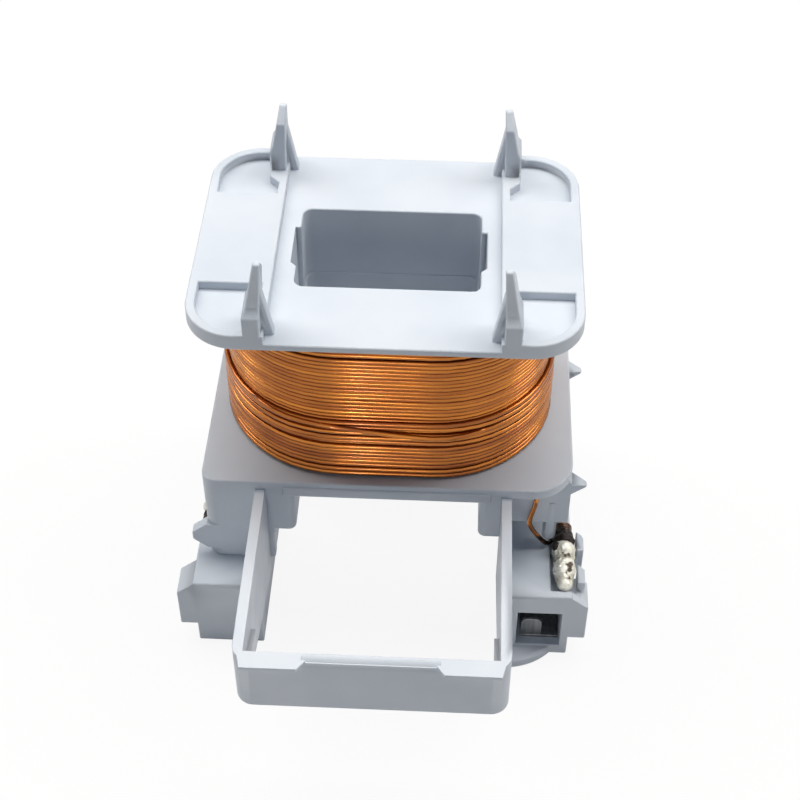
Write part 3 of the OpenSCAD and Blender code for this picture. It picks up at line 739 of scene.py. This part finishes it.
class COIL_OT_winding(bpy.types.Operator):
    """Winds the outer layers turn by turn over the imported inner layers"""

    bl_idname = "coil.winding"
    bl_label = "Winding"

    def execute(self, context):
        finish, winding = context.scene.coil_finish, context.scene.coil_winding
        bright = enamel_material("enamelled_copper", finish.enamel, finish.enamel_deep)
        # Painted shade: the last layer and the inner layers get the darker copy of the enamel.
        shaded_copper = enamel_material("shaded_last_enamelled_copper", finish.shaded_enamel, finish.shaded_enamel_deep)
        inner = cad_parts["winding_inner_layers"]
        inner.data.materials.clear()
        inner.data.materials.append(shaded_copper)
        layers = (
            ("full_layer_turns", "winding_outer_layer", bright, winding.full_turns,
             winding.corner, FULL_PITCH, FULL_STEPS),
            ("last_layer_turns", "winding_last_layer", shaded_copper, winding.last_turns,
             winding.corner + winding.wire, LAST_PITCH, LAST_STEPS))
        for name, node, material, turns, corner, pitch, steps in layers:
            low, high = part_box(node)
            out = winding.slack - winding.wire / 2
            outline = turn_outline(high.x + out, high.y + out, corner + out)
            lines = [wind(outline, turns, low.z, pitch * winding.wire, steps, winding.waver)]
            if node == "winding_last_layer":
                lines.append(stray_turn(outline, lines[0], turns, winding.wire))
            wire = wire_mesh(name, TIGHT * winding.wire, *lines)
            add_piece(name, wire, material, COIL, "enamelled_copper", node)
        return {"FINISHED"}


class COIL_OT_leads(bpy.types.Operator):
    """Brings the two leads from the winding to the pins and wraps them round"""

    bl_idname = "coil.leads"
    bl_label = "Leads"

    def execute(self, context):
        finish, wire = context.scene.coil_finish, context.scene.coil_winding.wire
        for side, lead, route in (
                ("right", "finish_lead", FINISH_ROUTE), ("left", "start_lead", START_ROUTE)):
            inward = INWARD[side]
            low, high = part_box(side + "_lead_wrap")
            centre = (low + high) / 2
            # Painted shade: the lead's scorch reaches far up the wire and darkens it where it falls below the
            # edge.
            burnt = scorch_and_shade_material(side + "_scorched_and_shaded_lead", finish, centre, LEAD_SCORCH_AND_SHADE)
            way = spline_points([Vector(point) * MM for point in route], ROUTE_STEPS)
            mesh = wire_mesh(lead, TIGHT * wire, way)
            add_piece(lead + "_wire", mesh, burnt, COIL, "enamelled_copper", lead)
            hottest = Vector((centre.x, low.y, centre.z))
            singed = scorch_and_shade_material(side + "_scorched_wrap", finish, hottest, WRAP_SCORCH)
            radius = (high.x - low.x - wire) / 2
            coil = []
            for step in range(WRAP_TURNS * WRAP_STEPS + 1):
                angle = 2 * math.pi * step / WRAP_STEPS
                along = low.y + wire / 2 + (high.y - low.y - wire) * step / (WRAP_TURNS * WRAP_STEPS)
                if inward > 0:
                    along = low.y + high.y - along
                unevenness = noise.noise(Vector((angle * RAGGED_WAVES, RAGGED_SIDE * inward, 0)))
                ragged = 1 + WRAP_RAGGED * unevenness
                coil.append(Vector((
                    centre.x + inward * radius * ragged * math.cos(angle), along,
                    centre.z + radius * ragged * math.sin(angle))))
            name = side + "_wrap_turns"
            add_piece(name, wire_mesh(name, wire, coil), singed, COIL, "scorched_copper", side + "_lead_wrap")
        return {"FINISHED"}


class COIL_OT_solder(bpy.types.Operator):
    """Heaps lumpy solder on the pins, with burnt flux beside it"""

    bl_idname = "coil.solder"
    bl_label = "Solder"

    def execute(self, context):
        finish = context.scene.coil_finish
        metal, residue = solder_material(finish), flux_material(finish)
        for side, inward in INWARD.items():
            low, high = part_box(side + "_solder_joint")
            centre, radius = (low + high) / 2, (high.x - low.x) / 2
            start, end = (low.y, high.y) if inward > 0 else (high.y, low.y)
            bulk = LEFT_JOINT if side == "left" else 1
            lump = bmesh.new()
            for share, size, lift in BEADS:
                place = Vector((centre.x, start + share * (end - start), centre.z + lift * radius))
                add_bead(lump, place, bulk * size * radius, SOLDER_LUMPS)
            name = side + "_solder_lump"
            add_piece(name, fuse(lump, name), metal, COIL, "solder", side + "_solder_joint")
            crust = bmesh.new()
            for along, lift, size in CRUSTS:
                place = Vector((centre.x, start + inward * along, centre.z + lift))
                add_bead(crust, place, bulk * size, CRUST_LUMPS)
            blot = Vector((
                centre.x + inward * BLOT_INWARD * radius, start + BLOT_ALONG * (end - start),
                centre.z + BLOT_UP * radius))
            add_bead(crust, blot, BLOT_SIZE * bulk * radius, BLOT_LUMPS)
            name = side + "_flux_residue"
            add_piece(name, fuse(crust, name), residue, COIL, "scorched_copper")
        return {"FINISHED"}


def add_bead(bm, centre, radius, lumpiness):
    """Adds a lumpy ball to a bmesh."""
    made = bmesh.ops.create_icosphere(bm, subdivisions=4, radius=radius, matrix=Matrix.Translation(centre))
    for vertex in made["verts"]:
        out = (vertex.co - centre) / radius
        fine = FINE_LUMP_SHARE * noise.noise(vertex.co * FINE_LUMP_WAVES)
        swell = noise.noise(vertex.co * LUMP_WAVES) + fine
        vertex.co = centre + out * radius * (1 + lumpiness * swell)


def fuse(bm, name):
    """One skin round the balls of a bmesh."""
    mesh = to_mesh(bm, name)
    holder = bpy.data.objects.new(name, mesh)
    bpy.context.scene.collection.objects.link(holder)
    skin = holder.modifiers.new("skin", "REMESH")
    skin.mode = "VOXEL"
    skin.voxel_size = SKIN_VOXEL
    relax = holder.modifiers.new("relax", "SMOOTH")
    relax.iterations = 2
    bpy.context.view_layer.update()
    fused = bpy.data.meshes.new_from_object(holder.evaluated_get(bpy.context.evaluated_depsgraph_get()))
    bpy.data.objects.remove(holder)
    bpy.data.meshes.remove(mesh)
    fused.name = name
    fused.shade_smooth()
    return fused


class COIL_OT_contacts(bpy.types.Operator):
    """Rounds the stamped terminals and contact leaves and tins them"""

    bl_idname = "coil.contacts"
    bl_label = "Contacts"

    def execute(self, context):
        finish = context.scene.coil_finish
        material = tin_material(finish)
        for side in ("left", "right"):
            for node, name, body in (
                    (side + "_terminal", side + "_strip_and_pin", COIL),
                    (side + "_contact_leaf", side + "_spring_leaf", side + "_leaf")):
                mesh = to_mesh(rounded_solid(node, finish.metal_edge), name)
                weigh_normals(add_piece(name, mesh, material, body, "tinned_contact", node))
        return {"FINISHED"}


class COIL_OT_stage(bpy.types.Operator):
    """Sets the camera, the soft light, the white surroundings and the floor"""

    bl_idname = "coil.stage"
    bl_label = "Stage"

    def execute(self, context):
        stage, scene = context.scene.coil_stage, context.scene
        scene.view_settings.view_transform = "Standard"
        add_camera(scene, stage)
        add_lamp(scene, "softbox", *SOFTBOX, stage.key, stage.warmth)
        add_lamp(scene, "strip", *STRIP, stage.glint, stage.warmth)
        light_world(scene, stage)
        add_floor(scene, stage)
        return {"FINISHED"}


def add_camera(scene, stage):
    camera = bpy.data.cameras.new("camera")
    camera.lens = stage.lens
    camera.sensor_width = 36
    camera.clip_start, camera.clip_end = 0.01, 10
    holder = bpy.data.objects.new("camera", camera)
    scene.collection.objects.link(holder)
    turn = (
        Matrix.Rotation(stage.yaw, 4, "Z") @ Matrix.Rotation(math.pi / 2 - stage.pitch, 4, "X")
        @ Matrix.Rotation(stage.roll, 4, "Z"))
    holder.matrix_world = Matrix.Translation(stage.eye) @ turn
    scene.camera = holder


def add_lamp(scene, name, place, width, height, power, tone):
    """A flat lamp that faces the coil."""
    lamp = bpy.data.lights.new(name, "AREA")
    lamp.shape = "RECTANGLE"
    lamp.size, lamp.size_y = width, height
    lamp.energy = power
    lamp.color = tone
    holder = bpy.data.objects.new(name, lamp)
    scene.collection.objects.link(holder)
    turn = (-Vector(place)).to_track_quat("-Z", "Y").to_matrix().to_4x4()
    holder.matrix_world = Matrix.Translation(place) @ turn


def seen_directly(tree):
    """1 for rays of the camera, of reflections and of light let through, and 0 for light that only falls."""
    path = add_node(tree, "LightPath")
    shiny = add_node(
        tree, "Math", {0: path.outputs["Is Glossy Ray"], 1: path.outputs["Is Transmission Ray"]},
        operation="MAXIMUM")
    seen = add_node(
        tree, "Math", {0: path.outputs["Is Camera Ray"], 1: shiny.outputs[0]}, operation="MAXIMUM")
    return seen.outputs[0]


def light_world(scene, stage):
    """Even light from all round, and plain white where it is seen."""
    world = bpy.data.worlds.new("studio")
    scene.world = world
    world.use_nodes = True
    tree = world.node_tree
    tree.nodes.clear()
    seen = seen_directly(tree)
    level = add_node(tree, "MapRange", {"Value": seen, "To Min": stage.ambient, "To Max": 1.0})
    tint = add_node(tree, "MixRGB", {"Fac": seen, "Color1": opaque(stage.shade), "Color2": WHITE})
    sky = add_node(tree, "Background", {"Color": tint.outputs["Color"], "Strength": level.outputs["Result"]})
    add_node(tree, "OutputWorld", {"Surface": sky.outputs["Background"]})


def add_floor(scene, stage):
    """A pale floor that the coil stands on."""
    bm = bmesh.new()
    base = Matrix.Translation((0, 0, CAD_BOX[0].z))
    bmesh.ops.create_grid(bm, x_segments=1, y_segments=1, size=FLOOR_SIZE, matrix=base)
    floor = bpy.data.objects.new("floor", to_mesh(bm, "floor"))
    scene.collection.objects.link(floor)
    material = bpy.data.materials.new("floor")
    material.use_nodes = True
    tree = material.node_tree
    tree.nodes.clear()
    seen = seen_directly(tree)
    pale = add_node(tree, "MapRange", {"Value": seen, "To Min": stage.bounce, "To Max": stage.floor})
    paint = add_node(tree, "BsdfDiffuse", {"Color": pale.outputs["Result"]})
    white = add_node(tree, "Emission", {"Color": WHITE, "Strength": 1.0})
    share = add_node(tree, "Math", {0: seen, 1: stage.glow}, operation="MULTIPLY")
    mix = add_node(tree, "MixShader", {0: share.outputs[0], 1: paint.outputs[0], 2: white.outputs[0]})
    add_node(tree, "OutputMaterial", {"Surface": mix.outputs[0]})
    floor.data.materials.append(material)


class COIL_PT_panel(bpy.types.Panel):
    """Lists the coil's sizes, colours and steps"""

    bl_idname = "COIL_PT_panel"
    bl_label = "Contactor coil"
    bl_space_type = "VIEW_3D"
    bl_region_type = "UI"
    bl_category = "Coil"

    def draw(self, context):
        for group in (context.scene.coil_finish, context.scene.coil_winding, context.scene.coil_stage):
            box = self.layout.box()
            for name in group.__annotations__:
                box.prop(group, name)
        for operator in OPERATORS:
            self.layout.operator(operator.bl_idname)


GROUPS = {"coil_finish": CoilFinish, "coil_winding": CoilWinding, "coil_stage": CoilStage}
OPERATORS = (
    COIL_OT_mouldings, COIL_OT_winding, COIL_OT_leads, COIL_OT_solder, COIL_OT_contacts, COIL_OT_stage)


def register():
    for cls in (*GROUPS.values(), *OPERATORS, COIL_PT_panel):
        bpy.utils.register_class(cls)
    for name, cls in GROUPS.items():
        setattr(bpy.types.Scene, name, PointerProperty(type=cls))


def unregister():
    for name in GROUPS:
        delattr(bpy.types.Scene, name)
    for cls in reversed((*GROUPS.values(), *OPERATORS, COIL_PT_panel)):
        bpy.utils.unregister_class(cls)


def main():
    register()
    bpy.ops.coil.mouldings()
    bpy.ops.coil.winding()
    bpy.ops.coil.leads()
    bpy.ops.coil.solder()
    bpy.ops.coil.contacts()
    bpy.ops.coil.stage()


if __name__ == "__main__":
    main()
